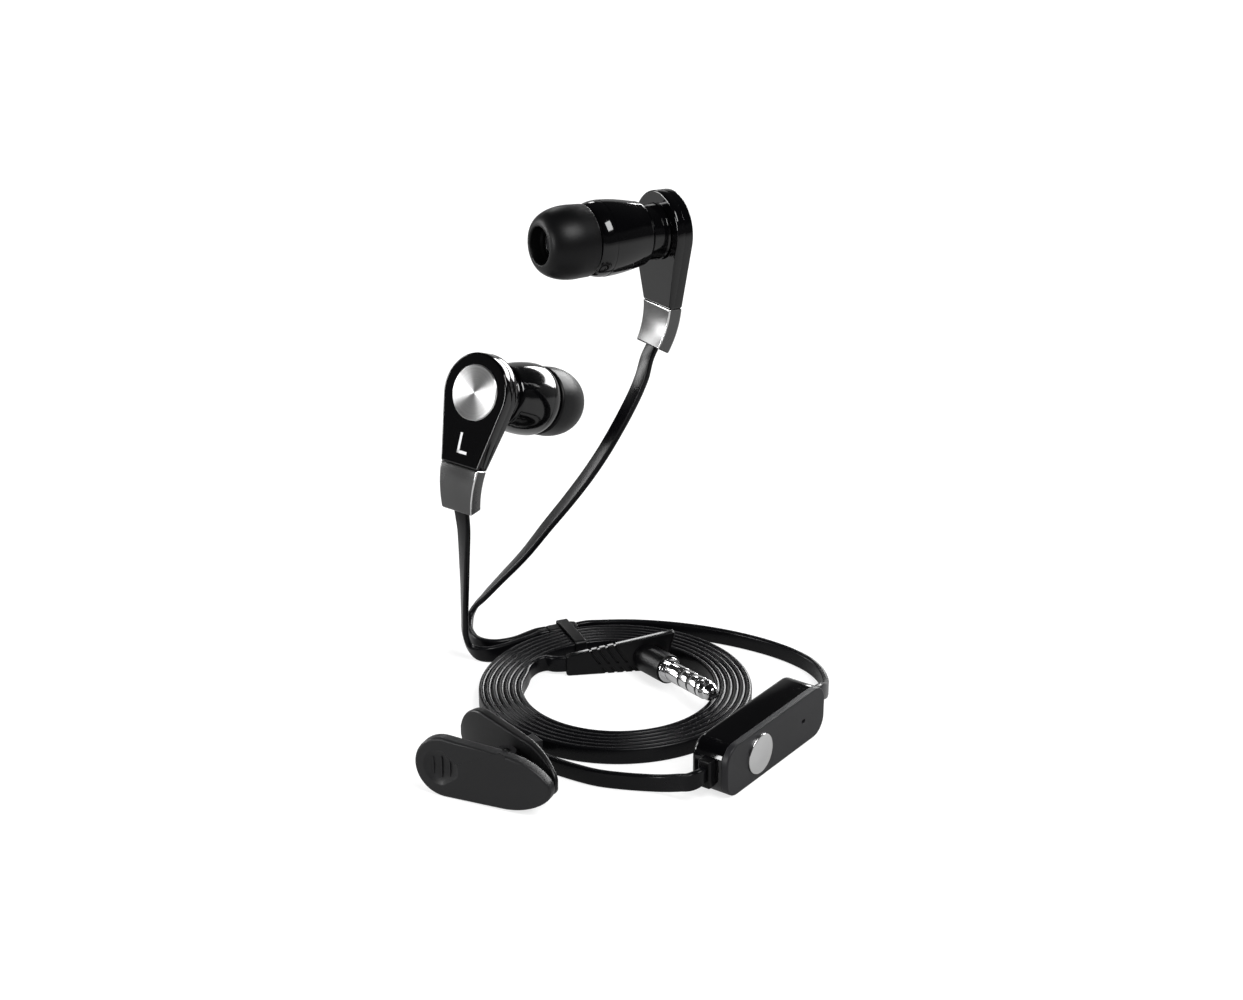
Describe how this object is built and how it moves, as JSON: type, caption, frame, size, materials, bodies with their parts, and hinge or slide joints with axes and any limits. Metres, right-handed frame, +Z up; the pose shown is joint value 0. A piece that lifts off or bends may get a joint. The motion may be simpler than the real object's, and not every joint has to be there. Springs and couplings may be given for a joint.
{
  "type": "wired earphones",
  "caption": "In-ear earphones on a flat cord wound in a coil, with teardrop earpieces, in-line remote with button and microphone, shirt clip and angled four-pole plug.",
  "frame": {"origin": "middle of the box round the earpieces, remote and clip, on the floor they lie on", "axes": "+Z up; the clip and remote lie towards -Y, the remote towards +X and the left earpiece towards -X"},
  "size_m": [0.0701, 0.0762, 0.0863],
  "materials": {
    "plate_black": "glossy black moulding",
    "barrel_black": "high-gloss black moulding",
    "disc_aluminium": "fine circular turning marks",
    "mark_white": "printed white",
    "driver_steel": "stamped",
    "magnet_nickel": "nickel plated",
    "diaphragm_film": "thin film",
    "mesh_steel": "woven mesh",
    "tip_silicone": "satin silicone",
    "collar_aluminium": "satin with bright chamfers",
    "cord_black": "semi-gloss",
    "remote_satin": "satin dark grey",
    "remote_gloss": "glossy black",
    "button_silver": "satin metallised",
    "board_green": "solder mask",
    "switch_steel": "stamped",
    "microphone_can": "stamped",
    "clip_satin": "fine satin",
    "clip_steel": "drawn wire",
    "plug_black": "satin moulding",
    "jack_nickel": "bright nickel",
    "jack_insulator": "moulded rings",
    "jack_brass": "turned"
  },
  "bodies": {
    "set": {"left_outer_shell": "plate_black", "left_inner_shell": "plate_black", "left_disc": "disc_aluminium", "left_side_mark": "mark_white", "left_neck": "barrel_black", "left_rear_barrel": "barrel_black", "left_front_barrel": "barrel_black", "left_driver_frame": "driver_steel", "left_magnet": "magnet_nickel", "left_diaphragm": "diaphragm_film", "left_mesh": "mesh_steel", "left_collar": "collar_aluminium", "left_cord_anchor": "cord_black", "right_outer_shell": "plate_black", "right_inner_shell": "plate_black", "right_disc": "disc_aluminium", "right_side_mark": "mark_white", "right_neck": "barrel_black", "right_rear_barrel": "barrel_black", "right_front_barrel": "barrel_black", "right_driver_frame": "driver_steel", "right_magnet": "magnet_nickel", "right_diaphragm": "diaphragm_film", "right_mesh": "mesh_steel", "right_collar": "collar_aluminium", "right_cord_anchor": "cord_black", "remote_front_plate": "remote_satin", "remote_rear_shell": "remote_gloss", "remote_circuit_board": "board_green", "remote_switch": "switch_steel", "remote_microphone": "microphone_can", "remote_left_gland": "cord_black", "remote_right_gland": "cord_black", "clip_rear_paddle": "clip_satin", "clip_hinge_pin": "clip_steel", "clip_spring": "clip_steel", "left_cord": "cord_black", "right_cord": "cord_black", "splitter": "cord_black", "back_cord": "cord_black", "front_cord": "cord_black", "cord_coil": "cord_black", "coil_tie": "cord_black", "plug_lead": "cord_black", "plug_body": "plug_black", "jack_shoulder": "jack_nickel", "jack_sleeve": "jack_nickel", "jack_ring_2": "jack_nickel", "jack_ring_1": "jack_nickel", "jack_tip": "jack_nickel", "jack_insulators": "jack_insulator", "jack_core": "jack_brass"},
    "left_tip": {"left_ear_tip": "tip_silicone"},
    "right_tip": {"right_ear_tip": "tip_silicone"},
    "button": {"remote_button": "button_silver"},
    "clip_front": {"clip_front_paddle": "clip_satin"}
  },
  "joints": [
    {"name": "left_tip_slide", "type": "slide", "parent": "set", "child": "left_tip", "axis": [0.5763, 0.7376, -0.3518], "range_m": [0, 0.008]},
    {"name": "right_tip_slide", "type": "slide", "parent": "set", "child": "right_tip", "axis": [-0.8469, -0.5298, 0.0454], "range_m": [0, 0.008]},
    {"name": "button_press", "type": "slide", "parent": "set", "child": "button", "axis": [-0.809, 0.5878, 0], "range_m": [0, 0.00035], "stiffness_N_per_m": 250},
    {"name": "clip_hinge", "type": "hinge", "parent": "set", "child": "clip_front", "pos_m": [-0.0192, -0.0293, 0.0054], "axis": [0, 0, -1], "range_deg": [0, 20], "stiffness_Nm_per_rad": 0.03}
  ]
}
